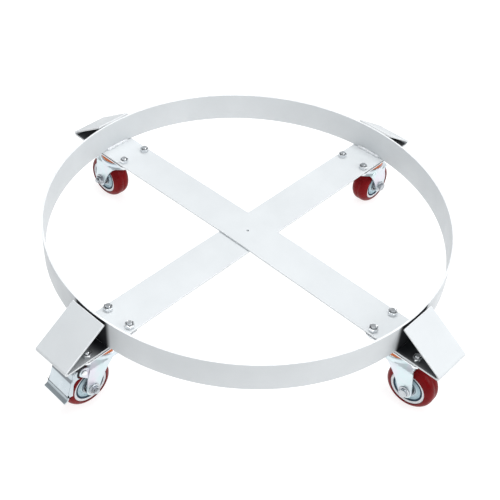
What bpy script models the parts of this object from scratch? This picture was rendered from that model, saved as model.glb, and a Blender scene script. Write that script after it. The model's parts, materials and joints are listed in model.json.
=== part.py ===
"""Drum dolly: a steel ring on two crossed flat bars, carried by four swivel casters.

Metres, +Z up. The origin is on the floor, under the centre of the ring. The upper cross bar runs
along X and the lower one along Y. Each bar folds back up at its tips into a sloped outrigger plate
that meets the ring's outer top edge. The front left caster, on the -Y tip, carries a foot brake.
"""

import math

import bmesh
import bpy
from mathutils import Matrix, Vector

CLEARANCE = 0.0003  # air between neighbouring solids
WELD_INTO = 0.001  # how far shapes that join reach into each other

# Where cutters end: beyond every vertical hole, and beyond the fork's sides
HOLES_FROM = 0.080
HOLES_TO = 0.130
SIDE_REACH = 0.040

# Ring
RING_INNER_RADIUS = 0.305
RING_WALL = 0.003
RING_HEIGHT = 0.048
RING_EDGE = 0.0005

# Heights above the floor
WHEEL_RADIUS = 0.0375
CASTER_HEIGHT = 0.110
BAR_BOTTOM = CASTER_HEIGHT + CLEARANCE
BAR_THICKNESS = 0.003
BAR_TOP = BAR_BOTTOM + BAR_THICKNESS
RING_BOTTOM = BAR_TOP + CLEARANCE
RING_TOP = RING_BOTTOM + RING_HEIGHT

# Cross bars and their folded outriggers
BAR_WIDTH = 0.063
TIP_RADIUS = 0.3787
FOLD_RADIUS = 0.0032  # middle of the sheet
FOLD_STEPS = 12
OUTRIGGER_TOP_RADIUS = 0.3106  # middle of the sheet at the outrigger's upper edge
CROSSING_RISE = BAR_THICKNESS + CLEARANCE
CROSSING_FLAT = 0.034
CROSSING_FOOT = 0.252
CENTRE_HOLE_RADIUS = 0.002

# Caster plates and their bolts
CASTER_RADIUS = 0.2985  # from the dolly's centre to each swivel axis
PLATE_LENGTH = 0.092
PLATE_WIDTH = 0.064
PLATE_THICKNESS = 0.003
PLATE_CORNER = 0.006
PLATE_BOTTOM = CASTER_HEIGHT - PLATE_THICKNESS
BOLT_PITCH_ALONG = 0.075
BOLT_PITCH_ACROSS = 0.045
BOLT_RADIUS = 0.0038
BOLT_HOLE_RADIUS = 0.0044
HEX_RADIUS = 0.0071  # half across the corners of a bolt head or nut
BOLT_HEAD_HEIGHT = 0.0053
NUT_HEIGHT = 0.0056
BOLT_END_LENGTH = 0.003

# Swivel
KINGPIN_RADIUS = 0.006
KINGPIN_BORE = KINGPIN_RADIUS + CLEARANCE
RIVET_RADIUS = 0.0085
RIVET_DEPTH = 0.0022
KINGPIN_HEAD_RADIUS = 0.011
KINGPIN_HEAD_HEIGHT = 0.006
RACE_CUP_RADIUS = 0.026
RACE_CUP_HEIGHT = 0.0032
RACE_CUP_TAPER = 0.002
SEAL_OUTER_RADIUS = 0.0315
SEAL_INNER_RADIUS = 0.0268
SEAL_EDGE = 0.0012
SEAL_GAP = 0.0006  # under the caster's plate

# Fork
FORK_SHEET = 0.0025
FORK_HALF_WIDTH = 0.0228
CROWN_RADIUS = 0.033
CROWN_TOP = 0.1003
CROWN_EDGE_DROP = 0.0028  # size of the crown's chamfered edge
CROWN_SKIRT = 0.0935
CROWN_RACE_RADIUS = 0.0225
CROWN_RACE_TAPER = 0.003
CROWN_RACE_TOP = PLATE_BOTTOM - RACE_CUP_HEIGHT - CLEARANCE
SHOULDER_FOOT = 0.0770
SHOULDER_STEPS = 5
LEG_END = 0.024  # lower edge of the fork's sheet before the legs are cut round the axle
LEG_SECTION_RADIUS = 0.050  # wide enough for the legs to be flat below the shoulders
TRAIL = 0.0295
BOSS_RADIUS = 0.0115
LEG_TOP_CIRCLES = ((-0.021, 0.092, 0.010), (0.024, 0.091, 0.010))
LEG_ARCH_CENTRE = (-0.0492, 0.0204)  # the legs' inner edges are hollowed by a circle round this
LEG_ARCH_RADIUS = 0.069
SKIRT_REACH = 0.036

# Wheel, measured along its axle from the middle
TREAD_HALF_WIDTH = 0.0160
TREAD_SHOULDER = 0.012
TREAD_INNER_RADIUS = 0.0275
CORE_HALF_WIDTH = 0.0142
CORE_RIM_INNER = 0.0245
CORE_WEB_HALF = 0.0095
CORE_HUB_OUTER = 0.0165
CORE_BORE = 0.0133
BEARING_OUTER = CORE_BORE - CLEARANCE
BEARING_HALF_WIDTH = 0.0155
SLEEVE_RADIUS = 0.0068
AXLE_RADIUS = 0.004
AXLE_BORE = AXLE_RADIUS + CLEARANCE
AXLE_HEAD_HEIGHT = 0.0053
AXLE_END_LENGTH = 0.003

# Foot brake, in the front left caster's own side view: (outwards, up)
BRAKE_PIVOT = (0.0430, 0.0820)
BRAKE_PIN_RADIUS = 0.0025
BRAKE_PIN_HEAD = 0.0018
BRAKE_ARM_RADIUS = 0.0062
BRAKE_LUG_CIRCLES = ((*BRAKE_PIVOT, 0.0075), (0.030, 0.078, 0.006), (0.030, 0.066, 0.006))
LUG_INSET = 0.0001  # keeps a lug's faces just inside its leg's
PEDAL_SHEET = 0.0022
PEDAL_ARM_HALF_WIDTH = 0.0199  # inside the fork's lugs
PEDAL_HALF_WIDTH = 0.0212
PEDAL_LIP_HALF_WIDTH = 0.0228
PEDAL_INSET = 0.0004  # the pedal's flat sheets stop this far inside its side walls
PEDAL_TOP = ((0.0380, 0.0900), (0.0520, 0.0912))
PEDAL_BEND = (0.0525, 0.0830)
PEDAL_BEND_RADIUS = 0.008
PEDAL_KNEE = (0.0655, 0.0690)
PEDAL_FOOT = (0.0718, 0.0500)
LIP_PATH = ((0.0711, 0.0520), (0.0726, 0.0480), (0.0742, 0.0462), (0.0790, 0.0441))
ARM_END = (0.0520, 0.0765)
CHEEK_NOTCH_RADIUS = 0.0105  # clears the lug's round end
CHEEK_SHOULDER = (0.0520, 0.0652)
CHEEK_SHOULDER_RADIUS = 0.0085
CHEEK_FOOT = (0.0632, 0.0480)
SHOE_HALF_WIDTH = 0.011
SHOE_BACK = ((0.0588, 0.0700), (0.0584, 0.0830), (0.0535, 0.0892), (0.0485, 0.0892))
SHOE_GAP = 0.0021  # from the shoe to the tread when the brake is off
SPRING_WIRE_RADIUS = 0.0009
SPRING_TURNS = 3
SPRING_CLEARANCE = 0.0006

BRAKED_CORNER = "front_left"
BOLT_LABELS = ("inner_a", "inner_b", "outer_a", "outer_b")

# Each corner: the direction of its bar from the centre, and how far its caster is turned from it
CORNERS = {
    "front_right": (0.0, 3.5),
    "back_right": (90.0, 1.0),
    "back_left": (180.0, -1.6),
    "front_left": (-90.0, -1.8),
}


# ---------------------------------------------------------------- scene and helpers


def clear_scene():
    for thing in list(bpy.data.objects):
        bpy.data.objects.remove(thing, do_unlink=True)


def new_collection(name):
    collection = bpy.data.collections.new(name)
    bpy.context.scene.collection.children.link(collection)
    return collection


def make_material(name, colour, roughness, metallic):
    material = bpy.data.materials.new(name)
    material.use_nodes = True
    shader = material.node_tree.nodes["Principled BSDF"]
    shader.inputs["Base Color"].default_value = (*colour, 1.0)
    shader.inputs["Roughness"].default_value = roughness
    shader.inputs["Metallic"].default_value = metallic
    return material


def new_object(name, mesh, collection, parent=None, place=None):
    made = bpy.data.objects.new(name, mesh)
    collection.objects.link(made)
    made.parent = parent
    if place is not None:
        made.matrix_local = place
    return made


def new_empty(name, parent, place):
    empty = new_object(name, None, PARTS, parent, place)
    empty.empty_display_size = 0.02
    return empty


def mesh_of(name, build):
    """A mesh filled by build(bm)."""
    mesh = bpy.data.meshes.new(name)
    bm = bmesh.new()
    build(bm)
    bmesh.ops.recalc_face_normals(bm, faces=bm.faces)
    bm.to_mesh(mesh)
    bm.free()
    return mesh


def cylinder(name, radius, low, high, place=Matrix(), segments=16, top_radius=None):
    """A cutter or a shape to join: a cylinder, cone or prism along its own Z from low to high."""

    def build(bm):
        bmesh.ops.create_cone(
            bm,
            cap_ends=True,
            segments=segments,
            radius1=radius,
            radius2=radius if top_radius is None else top_radius,
            depth=high - low,
            matrix=Matrix.Translation((0, 0, (low + high) / 2)),
        )

    return new_object(name, mesh_of(name, build), HELPERS, None, place)


def extruded(name, outline, half_depth, place=Matrix()):
    """A flat outline filled and extruded both ways, as a mesh object."""
    curve = bpy.data.curves.new(name, "CURVE")
    curve.dimensions = "2D"
    curve.fill_mode = "BOTH"
    curve.extrude = half_depth
    spline = curve.splines.new("POLY")
    spline.points.add(len(outline) - 1)
    for point, (x, y) in zip(spline.points, outline):
        point.co = (x, y, 0, 1)
    spline.use_cyclic_u = True
    return meshed(new_object(name, curve, HELPERS, None, place))


def turned(name, profile, segments, closed=True):
    """A profile of (radius, height) points, outer side downwards, turned round Z."""
    mesh = bpy.data.meshes.new(name)
    count = len(profile)
    edges = [(i, (i + 1) % count) for i in range(count if closed else count - 1)]
    mesh.from_pydata([(radius, 0, height) for radius, height in profile], edges, [])
    made = new_object(name, mesh, HELPERS)
    screw = made.modifiers.new("Turn", "SCREW")
    screw.steps = segments
    screw.render_steps = segments
    screw.use_merge_vertices = not closed
    screw.merge_threshold = 0.00005
    return meshed(made)


def meshed(thing):
    """The same object with its curve or modifiers made into a plain, welded mesh."""
    bpy.context.view_layer.update()
    graph = bpy.context.evaluated_depsgraph_get()
    mesh = bpy.data.meshes.new_from_object(thing.evaluated_get(graph))
    bm = bmesh.new()
    bm.from_mesh(mesh)
    bmesh.ops.remove_doubles(bm, verts=bm.verts, dist=0.000002)
    bm.to_mesh(mesh)
    bm.free()
    name = thing.name
    place = thing.matrix_world.copy()
    bpy.data.objects.remove(thing, do_unlink=True)
    return new_object(name, mesh, HELPERS, None, place)


def combined(base, operation, others):
    """base joined with, cut by or kept within the others, which are used up."""
    for other in others:
        boolean = base.modifiers.new(other.name, "BOOLEAN")
        boolean.operation = operation
        boolean.object = other
    made = meshed(base)
    for other in others:
        bpy.data.objects.remove(other, do_unlink=True)
    return made


def finished(base, name, material):
    """The shared mesh of a finished shape, smooth on its round faces."""
    bpy.context.view_layer.update()
    mesh = base.data
    mesh.transform(base.matrix_world)
    mesh.name = name
    mesh.materials.clear()
    mesh.materials.append(material)
    mesh.shade_smooth()
    mesh.set_sharp_from_angle(angle=math.radians(30))
    bpy.data.objects.remove(base, do_unlink=True)
    return mesh


def arc(centre, radius, start, end, steps):
    """Points of an arc in a plane, angles in degrees."""
    points = []
    for i in range(steps + 1):
        angle = math.radians(start + (end - start) * i / steps)
        points.append((centre[0] + radius * math.cos(angle), centre[1] + radius * math.sin(angle)))
    return points


def hull_of_circles(circles, steps=24):
    """The outline of a band stretched round some circles (x, y, radius)."""
    points = []
    for x, y, radius in circles:
        points += arc((x, y), radius, 0, 360 - 360 / steps, steps - 1)
    points.sort()

    def half(ordered):
        chain = []
        for point in ordered:
            while len(chain) > 1 and turn(chain[-2], chain[-1], point) <= 1e-9:
                chain.pop()
            chain.append(point)
        return chain[:-1]

    return half(points) + half(points[::-1])


def turn(a, b, c):
    return (b[0] - a[0]) * (c[1] - a[1]) - (b[1] - a[1]) * (c[0] - a[0])


def rotated(angle, axis):
    return Matrix.Rotation(math.radians(angle), 4, axis)


# Stands an outline drawn as (outwards, up) upright, with its depth across the caster.
SIDE_VIEW = rotated(90, "X")


# ---------------------------------------------------------------- frame


def ring_mesh():
    inner = RING_INNER_RADIUS
    outer = inner + RING_WALL
    edge = RING_EDGE
    profile = [
        (outer - edge, RING_TOP),
        (outer, RING_TOP - edge),
        (outer, RING_BOTTOM + edge),
        (outer - edge, RING_BOTTOM),
        (inner + edge, RING_BOTTOM),
        (inner, RING_BOTTOM + edge),
        (inner, RING_TOP - edge),
        (inner + edge, RING_TOP),
    ]
    return finished(turned("ring", profile, 96), "ring_band", PAINT)


def half_bar_path(crossing_rise):
    """The middle of a bar's sheet from the dolly's centre to an outrigger's upper edge."""
    middle = BAR_BOTTOM + BAR_THICKNESS / 2
    path = [(0, middle + crossing_rise)]
    if crossing_rise:
        path += [(CROSSING_FLAT, middle + crossing_rise), (CROSSING_FOOT, middle)]
    half_sheet = BAR_THICKNESS / 2
    bend = Vector((TIP_RADIUS - half_sheet - FOLD_RADIUS, middle + FOLD_RADIUS))
    top = Vector((OUTRIGGER_TOP_RADIUS, RING_TOP - half_sheet))
    reach = top - bend
    # The slope leaves the bend along the tangent from the bend's circle to the upper edge.
    slope = math.degrees(math.atan2(reach.y, reach.x) - math.asin(FOLD_RADIUS / reach.length))
    path += arc(bend, FOLD_RADIUS, -90, slope - 90, FOLD_STEPS)
    return path + [tuple(top)]


def bar_mesh(name, crossing_rise, direction):
    half = half_bar_path(crossing_rise)
    path = [(-x, z) for x, z in half[:0:-1]] + half

    def build(bm):
        rows = []
        for side in (-BAR_WIDTH / 2, BAR_WIDTH / 2):
            rows.append([bm.verts.new((x, side, z)) for x, z in path])
        for i in range(len(path) - 1):
            bm.faces.new((rows[0][i], rows[0][i + 1], rows[1][i + 1], rows[1][i]))

    sheet = new_object(name, mesh_of(name, build), HELPERS)
    solidify = sheet.modifiers.new("Sheet", "SOLIDIFY")
    solidify.thickness = BAR_THICKNESS
    solidify.offset = 0
    solidify.use_even_offset = True
    solid = meshed(sheet)
    cutters = [cylinder("centre_hole", CENTRE_HOLE_RADIUS, HOLES_FROM, HOLES_TO, segments=12)]
    for end in (0, 180):
        for x, y in bolt_places():
            place = rotated(end, "Z") @ Matrix.Translation((x, y, 0))
            cutters.append(cylinder("bolt_hole", BOLT_HOLE_RADIUS, HOLES_FROM, HOLES_TO, place))
    solid = combined(solid, "DIFFERENCE", cutters)
    solid.matrix_world = rotated(direction, "Z") @ solid.matrix_world
    return finished(solid, name, PAINT)


def bolt_places():
    """The four bolts of a caster plate, with the bar running out along X."""
    places = []
    for along in (-BOLT_PITCH_ALONG / 2, BOLT_PITCH_ALONG / 2):
        for across in (-BOLT_PITCH_ACROSS / 2, BOLT_PITCH_ACROSS / 2):
            places.append((CASTER_RADIUS + along, across))
    return places


# ---------------------------------------------------------------- fixed half of a caster


def plate_mesh():
    length = PLATE_LENGTH / 2 - PLATE_CORNER
    width = PLATE_WIDTH / 2 - PLATE_CORNER
    corners = [(x, y, PLATE_CORNER) for x in (-length, length) for y in (-width, width)]
    lift = Matrix.Translation((0, 0, CASTER_HEIGHT - PLATE_THICKNESS / 2))
    plate = extruded("plate", hull_of_circles(corners, 12), PLATE_THICKNESS / 2, lift)
    cup = cylinder(
        "cup",
        RACE_CUP_RADIUS - RACE_CUP_TAPER,
        PLATE_BOTTOM - RACE_CUP_HEIGHT,
        PLATE_BOTTOM + WELD_INTO,
        Matrix(),
        24,
        RACE_CUP_RADIUS,
    )
    plate = combined(plate, "UNION", [cup])
    cutters = [
        cylinder("bore", KINGPIN_BORE, HOLES_FROM, HOLES_TO),
        cylinder(
            "rivet_seat",
            KINGPIN_BORE,
            CASTER_HEIGHT - RIVET_DEPTH,
            CASTER_HEIGHT,
            Matrix(),
            16,
            RIVET_RADIUS + CLEARANCE,
        ),
    ]
    for x, y in bolt_places():
        place = Matrix.Translation((x - CASTER_RADIUS, y, 0))
        cutters.append(cylinder("bolt_hole", BOLT_HOLE_RADIUS, HOLES_FROM, HOLES_TO, place, 12))
    return finished(combined(plate, "DIFFERENCE", cutters), "mount_plate", ZINC)


def kingpin_mesh():
    crown_bottom = CROWN_TOP - FORK_SHEET
    head_top = crown_bottom - CLEARANCE
    profile = [
        (0, CASTER_HEIGHT - CLEARANCE),
        (RIVET_RADIUS - CLEARANCE, CASTER_HEIGHT - CLEARANCE),
        (KINGPIN_RADIUS, CASTER_HEIGHT - RIVET_DEPTH),
        (KINGPIN_RADIUS, head_top),
        (KINGPIN_HEAD_RADIUS, head_top),
        (KINGPIN_HEAD_RADIUS, head_top - KINGPIN_HEAD_HEIGHT * 0.6),
        (KINGPIN_HEAD_RADIUS * 0.6, head_top - KINGPIN_HEAD_HEIGHT),
        (0, head_top - KINGPIN_HEAD_HEIGHT),
    ]
    return finished(turned("kingpin", profile, 16, closed=False), "kingpin", BRIGHT_ZINC)


def hexagon(name, low, high):
    return cylinder(name, HEX_RADIUS, low, high, Matrix(), 6)


def bolt_mesh():
    """An M8 bolt up through plate and bar, with its nut on top."""
    head_top = PLATE_BOTTOM - CLEARANCE
    nut_bottom = BAR_TOP + CLEARANCE
    nut_top = nut_bottom + NUT_HEIGHT
    shank_bottom = head_top - WELD_INTO
    shank = cylinder("shank", BOLT_RADIUS, shank_bottom, nut_top + BOLT_END_LENGTH, Matrix(), 10)
    head = hexagon("head", head_top - BOLT_HEAD_HEIGHT, head_top)
    nut = hexagon("nut", nut_bottom, nut_top)
    return finished(combined(shank, "UNION", [head, nut]), "mounting_bolt", BRIGHT_ZINC)


# ---------------------------------------------------------------- swivelling half


def fork_rows():
    """Heights of the fork's sheet with its half width across and its radius there: a round
    skirt at the crown, shoulders that draw in, then two flat legs."""
    edge = CROWN_RADIUS - 0.0002
    rows = [
        (CROWN_TOP - CROWN_EDGE_DROP, edge, edge),
        (CROWN_SKIRT, CROWN_RADIUS, CROWN_RADIUS),
    ]
    for i in range(1, SHOULDER_STEPS + 1):
        part = i / SHOULDER_STEPS
        ease = part * part * (3 - 2 * part)
        height = CROWN_SKIRT + (SHOULDER_FOOT - CROWN_SKIRT) * part
        half_width = CROWN_RADIUS + (FORK_HALF_WIDTH - CROWN_RADIUS) * ease
        rows.append((height, half_width, CROWN_RADIUS + (LEG_SECTION_RADIUS - CROWN_RADIUS) * part))
    rows.append((LEG_END, FORK_HALF_WIDTH, LEG_SECTION_RADIUS))
    return rows


def fork_shell(name, sides=24):
    """The fork's sheet as an open bell, its sections clipped to the width between the legs."""

    def build(bm):
        rim = []
        for i in range(sides):
            angle = 2 * math.pi * (i + 0.5) / sides
            radius = CROWN_RADIUS - CROWN_EDGE_DROP
            rim.append(bm.verts.new((radius * math.cos(angle), radius * math.sin(angle), CROWN_TOP)))
        bm.faces.new(rim)
        for height, half_width, radius in fork_rows():
            row = []
            for i in range(sides):
                angle = 2 * math.pi * (i + 0.5) / sides
                across = max(-half_width, min(half_width, radius * math.sin(angle)))
                row.append(bm.verts.new((radius * math.cos(angle), across, height)))
            for i in range(sides):
                j = (i + 1) % sides
                bm.faces.new((rim[i], row[i], row[j], rim[j]))
            rim = row

    shell = new_object(name, mesh_of(name, build), HELPERS)
    solidify = shell.modifiers.new("Sheet", "SOLIDIFY")
    solidify.thickness = FORK_SHEET
    solidify.offset = -1
    solidify.use_even_offset = True
    return meshed(shell)


def fork_side_outline():
    """What is left of the bell in side view: the legs and the whole of the skirt."""
    legs = hull_of_circles([(TRAIL, WHEEL_RADIUS, BOSS_RADIUS), *LEG_TOP_CIRCLES])
    arch_place = Matrix.Translation((LEG_ARCH_CENTRE[0], 0, LEG_ARCH_CENTRE[1])) @ SIDE_VIEW
    arch_reach = SIDE_REACH + WELD_INTO
    arch = cylinder("arch", LEG_ARCH_RADIUS, -arch_reach, arch_reach, arch_place, 72)
    side = combined(extruded("side", legs, SIDE_REACH, SIDE_VIEW), "DIFFERENCE", [arch])
    low = CROWN_SKIRT - CROWN_EDGE_DROP
    reach = SKIRT_REACH
    skirt = [(-reach, low), (reach, low), (reach, CASTER_HEIGHT), (-reach, CASTER_HEIGHT)]
    return combined(side, "UNION", [extruded("skirt", skirt, SIDE_REACH + WELD_INTO, SIDE_VIEW)])


def brake_lugs(circles):
    """A flat lug on each leg, a little thinner than the leg, that holds the brake's pin."""
    lugs = []
    if circles:
        middle = FORK_HALF_WIDTH - FORK_SHEET / 2
        for side in (-1, 1):
            place = Matrix.Translation((0, side * middle, 0)) @ SIDE_VIEW
            outline = hull_of_circles(circles, 16)
            lugs.append(extruded("lug", outline, FORK_SHEET / 2 - LUG_INSET, place))
    return lugs


def fork_mesh(name, lug_circles):
    fork = combined(fork_shell(name), "INTERSECT", [fork_side_outline()])
    race = cylinder(
        "race",
        CROWN_RACE_RADIUS,
        CROWN_TOP - WELD_INTO,
        CROWN_RACE_TOP,
        Matrix(),
        20,
        CROWN_RACE_RADIUS - CROWN_RACE_TAPER,
    )
    fork = combined(fork, "UNION", [race, *brake_lugs(lug_circles)])
    cutters = [
        cylinder("bore", KINGPIN_BORE, HOLES_FROM, HOLES_TO),
        cylinder("axle_hole", AXLE_BORE, -SIDE_REACH, SIDE_REACH, axle_place(), 12),
    ]
    if lug_circles:
        cutters.append(brake_pin_hole())
    return finished(combined(fork, "DIFFERENCE", cutters), name, BRIGHT_ZINC)


def brake_pin_hole():
    place = Matrix.Translation((BRAKE_PIVOT[0], 0, BRAKE_PIVOT[1])) @ SIDE_VIEW
    return cylinder("pin_hole", BRAKE_PIN_RADIUS + CLEARANCE, -SIDE_REACH, SIDE_REACH, place, 12)


def axle_place():
    """From a shape about its own Z to one about the axle, in the swivel's frame."""
    return Matrix.Translation((TRAIL, 0, WHEEL_RADIUS)) @ SIDE_VIEW


def seal_mesh():
    """The dust seal stands round the race cup, from the fork's crown almost to the plate."""
    low = CROWN_TOP + CLEARANCE
    high = PLATE_BOTTOM - SEAL_GAP
    profile = [
        (SEAL_OUTER_RADIUS - SEAL_EDGE, high),
        (SEAL_OUTER_RADIUS, high - SEAL_EDGE),
        (SEAL_OUTER_RADIUS, low + SEAL_EDGE),
        (SEAL_OUTER_RADIUS - SEAL_EDGE, low),
        (SEAL_INNER_RADIUS, low),
        (SEAL_INNER_RADIUS, high),
    ]
    return finished(turned("seal", profile, 24), "dust_seal", SEAL_PLASTIC)


def axle_bolt_mesh():
    """Head on the +Z side, threaded end on the -Z side, where the nut sits."""
    face = FORK_HALF_WIDTH + CLEARANCE
    far = -(face + AXLE_HEAD_HEIGHT + AXLE_END_LENGTH)
    shank = cylinder("shank", AXLE_RADIUS, far, face + WELD_INTO, Matrix(), 16)
    head = hexagon("head", face, face + AXLE_HEAD_HEIGHT)
    return finished(combined(shank, "UNION", [head]), "axle_bolt", BRIGHT_ZINC)


def axle_nut_mesh():
    face = FORK_HALF_WIDTH + CLEARANCE
    nut = hexagon("nut", -face - AXLE_HEAD_HEIGHT, -face)
    bore = cylinder("bore", AXLE_BORE, -SIDE_REACH, 0, Matrix(), 16)
    return finished(combined(nut, "DIFFERENCE", [bore]), "axle_nut", BRIGHT_ZINC)


# ---------------------------------------------------------------- wheel


def mirrored_profile(upper):
    """A closed profile, outer side down, from its upper half in the same order."""
    return upper + [(radius, -height) for radius, height in upper[::-1]]


def tread_mesh():
    crown_half = TREAD_HALF_WIDTH - TREAD_SHOULDER
    shoulder = arc((WHEEL_RADIUS - TREAD_SHOULDER, crown_half), TREAD_SHOULDER, 80, 5, 3)
    inner = TREAD_INNER_RADIUS + CLEARANCE
    upper = [(inner, CORE_HALF_WIDTH), (inner, TREAD_HALF_WIDTH - 0.0002)]
    upper += [point for point in shoulder if point[0] > inner]
    return finished(turned("tread", mirrored_profile(upper), 32), "wheel_tread", TREAD_RED)


def core_mesh():
    upper = [
        (CORE_BORE, CORE_WEB_HALF + 0.004),
        (CORE_HUB_OUTER, CORE_WEB_HALF),
        (CORE_RIM_INNER - 0.001, CORE_WEB_HALF),
        (CORE_RIM_INNER, CORE_HALF_WIDTH),
        (TREAD_INNER_RADIUS, CORE_HALF_WIDTH),
    ]
    return finished(turned("core", mirrored_profile(upper), 28), "wheel_core", CORE_PLASTIC)


def bearing_mesh():
    """The two ball races of a hub and the sleeve between them."""
    length = FORK_HALF_WIDTH - FORK_SHEET - CLEARANCE
    upper = [
        (AXLE_BORE, length),
        (SLEEVE_RADIUS, length),
        (SLEEVE_RADIUS, BEARING_HALF_WIDTH),
        (BEARING_OUTER, BEARING_HALF_WIDTH),
    ]
    return finished(turned("bearing", mirrored_profile(upper), 20), "hub_bearing", BEARING_STEEL)


# ---------------------------------------------------------------- foot brake


def pedal_path():
    """The middle of the pedal's sheet in side view, from over the pivot out and down to the toe lip."""
    return [*PEDAL_TOP, *arc(PEDAL_BEND, PEDAL_BEND_RADIUS, 80, 25, 3), PEDAL_KNEE, PEDAL_FOOT]


def band(path, thickness):
    """The closed outline of a sheet with this middle line."""
    sides = ([], [])
    for i, point in enumerate(path):
        before = Vector(path[max(i - 1, 0)])
        after = Vector(path[min(i + 1, len(path) - 1)])
        along = (after - before).normalized()
        offset = Vector((-along.y, along.x)) * thickness / 2
        sides[0].append(tuple(Vector(point) + offset))
        sides[1].append(tuple(Vector(point) - offset))
    return sides[0] + sides[1][::-1]


def pedal_pair(name, outline, half_width):
    """The same wall on both sides of the pedal."""
    walls = []
    for side in (-1, 1):
        middle = side * (half_width - PEDAL_SHEET / 2)
        place = Matrix.Translation((0, middle, 0)) @ SIDE_VIEW
        walls.append(extruded(name, outline, PEDAL_SHEET / 2, place))
    return walls


def pedal_mesh():
    path = pedal_path()
    # Each sheet is a little thicker than the one it joins, so that no two faces lie together.
    web = extruded("web", band(path, PEDAL_SHEET), PEDAL_ARM_HALF_WIDTH - PEDAL_INSET, SIDE_VIEW)
    face_outline = band(path[2:], PEDAL_SHEET + 0.0002)
    face = extruded("face", face_outline, PEDAL_HALF_WIDTH - PEDAL_INSET, SIDE_VIEW)
    lip_outline = band(LIP_PATH, PEDAL_SHEET + 0.0004)
    lip = extruded("lip", lip_outline, PEDAL_LIP_HALF_WIDTH, SIDE_VIEW)
    # The arms run under the web to the pivot, and the cheeks stand beside the wheel.
    arm_outline = [*path[4::-1], *arc(BRAKE_PIVOT, BRAKE_ARM_RADIUS, 125, 270, 5), ARM_END]
    cheek_outline = [
        *path[:1:-1],
        *arc(BRAKE_PIVOT, CHEEK_NOTCH_RADIUS, 38, -62, 4),
        *arc(CHEEK_SHOULDER, CHEEK_SHOULDER_RADIUS, 85, 12, 3),
        CHEEK_FOOT,
    ]
    joined = [face, lip]
    joined += pedal_pair("arm", arm_outline, PEDAL_ARM_HALF_WIDTH)
    joined += pedal_pair("cheek", cheek_outline, PEDAL_HALF_WIDTH)
    pedal = combined(web, "UNION", joined)
    return finished(combined(pedal, "DIFFERENCE", [brake_pin_hole()]), "brake_pedal", BRIGHT_ZINC)


def brake_pin_mesh():
    half = FORK_HALF_WIDTH + CLEARANCE
    head = BRAKE_PIN_HEAD
    upper = [
        (0, half + head),
        (BRAKE_PIN_RADIUS * 1.5, half + head),
        (BRAKE_PIN_RADIUS * 1.8, half + head * 0.4),
        (BRAKE_PIN_RADIUS * 1.8, half),
        (BRAKE_PIN_RADIUS, half),
    ]
    pin = turned("pin", mirrored_profile(upper), 12, closed=False)
    pin.matrix_world = SIDE_VIEW
    return finished(pin, "brake_pin", BRIGHT_ZINC)


def shoe_mesh():
    """A block under the pedal's web whose lower face follows the tread."""
    radius = WHEEL_RADIUS + SHOE_GAP
    centre = (TRAIL, WHEEL_RADIUS)
    outline = [*arc(centre, radius, 58, 46, 5), *SHOE_BACK]
    shoe = extruded("shoe", outline, SHOE_HALF_WIDTH, SIDE_VIEW)
    return finished(shoe, "brake_shoe", SHOE_RUBBER)


def spring_mesh():
    """A torsion spring round the brake pin, beside the shoe."""
    curve = bpy.data.curves.new("spring", "CURVE")
    curve.dimensions = "3D"
    curve.bevel_depth = SPRING_WIRE_RADIUS
    curve.bevel_resolution = 1
    curve.use_fill_caps = True
    radius = BRAKE_PIN_RADIUS + SPRING_CLEARANCE + SPRING_WIRE_RADIUS
    pitch = 2 * SPRING_WIRE_RADIUS + CLEARANCE
    per_turn = 10
    points = []
    for i in range(per_turn * SPRING_TURNS + 1):
        angle = 2 * math.pi * i / per_turn
        along = pitch * (i / per_turn - SPRING_TURNS / 2)
        points.append((radius * math.cos(angle), along, radius * math.sin(angle)))
    spline = curve.splines.new("POLY")
    spline.points.add(len(points) - 1)
    for point, place in zip(spline.points, points):
        point.co = (*place, 1)
    return finished(meshed(new_object("spring", curve, HELPERS)), "brake_spring", BEARING_STEEL)


# ---------------------------------------------------------------- assembly


def build_all():
    """Every node of the dolly, placed under the empties on its joints' axes."""
    frame = new_empty("frame_axes", None, Matrix())
    new_object("ring_band", ring_mesh(), PARTS, frame)
    new_object("upper_cross_bar", bar_mesh("upper_cross_bar", CROSSING_RISE, 0), PARTS, frame)
    new_object("lower_cross_bar", bar_mesh("lower_cross_bar", 0, 90), PARTS, frame)

    plate = plate_mesh()
    kingpin = kingpin_mesh()
    bolt = bolt_mesh()
    seal = seal_mesh()
    axle_bolt = axle_bolt_mesh()
    axle_nut = axle_nut_mesh()
    tread = tread_mesh()
    core = core_mesh()
    bearing = bearing_mesh()
    fork = fork_mesh("fork", [])
    brake_fork = fork_mesh("fork_with_brake_lugs", BRAKE_LUG_CIRCLES)

    for corner, (direction, turned_by) in CORNERS.items():
        arm = rotated(direction, "Z")
        seat = arm @ Matrix.Translation((CASTER_RADIUS, 0, 0))
        new_object(f"{corner}_mount_plate", plate, PARTS, frame, seat)
        new_object(f"{corner}_kingpin", kingpin, PARTS, frame, seat)
        for label, (x, y) in zip(BOLT_LABELS, bolt_places()):
            place = arm @ Matrix.Translation((x, y, 0))
            new_object(f"{corner}_bolt_{label}", bolt, PARTS, frame, place)

        swivel = new_empty(f"{corner}_swivel_axis", frame, seat @ rotated(turned_by, "Z"))
        own_fork = brake_fork if corner == BRAKED_CORNER else fork
        new_object(f"{corner}_fork", own_fork, PARTS, swivel)
        new_object(f"{corner}_dust_seal", seal, PARTS, swivel)
        new_object(f"{corner}_axle_bolt", axle_bolt, PARTS, swivel, axle_place())
        new_object(f"{corner}_axle_nut", axle_nut, PARTS, swivel, axle_place())
        if corner == BRAKED_CORNER:
            build_brake(corner, swivel)

        wheel = new_empty(f"{corner}_wheel_axis", swivel, axle_place())
        new_object(f"{corner}_wheel_core", core, PARTS, wheel)
        new_object(f"{corner}_wheel_tread", tread, PARTS, wheel)
        new_object(f"{corner}_hub_bearing", bearing, PARTS, wheel)


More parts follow.
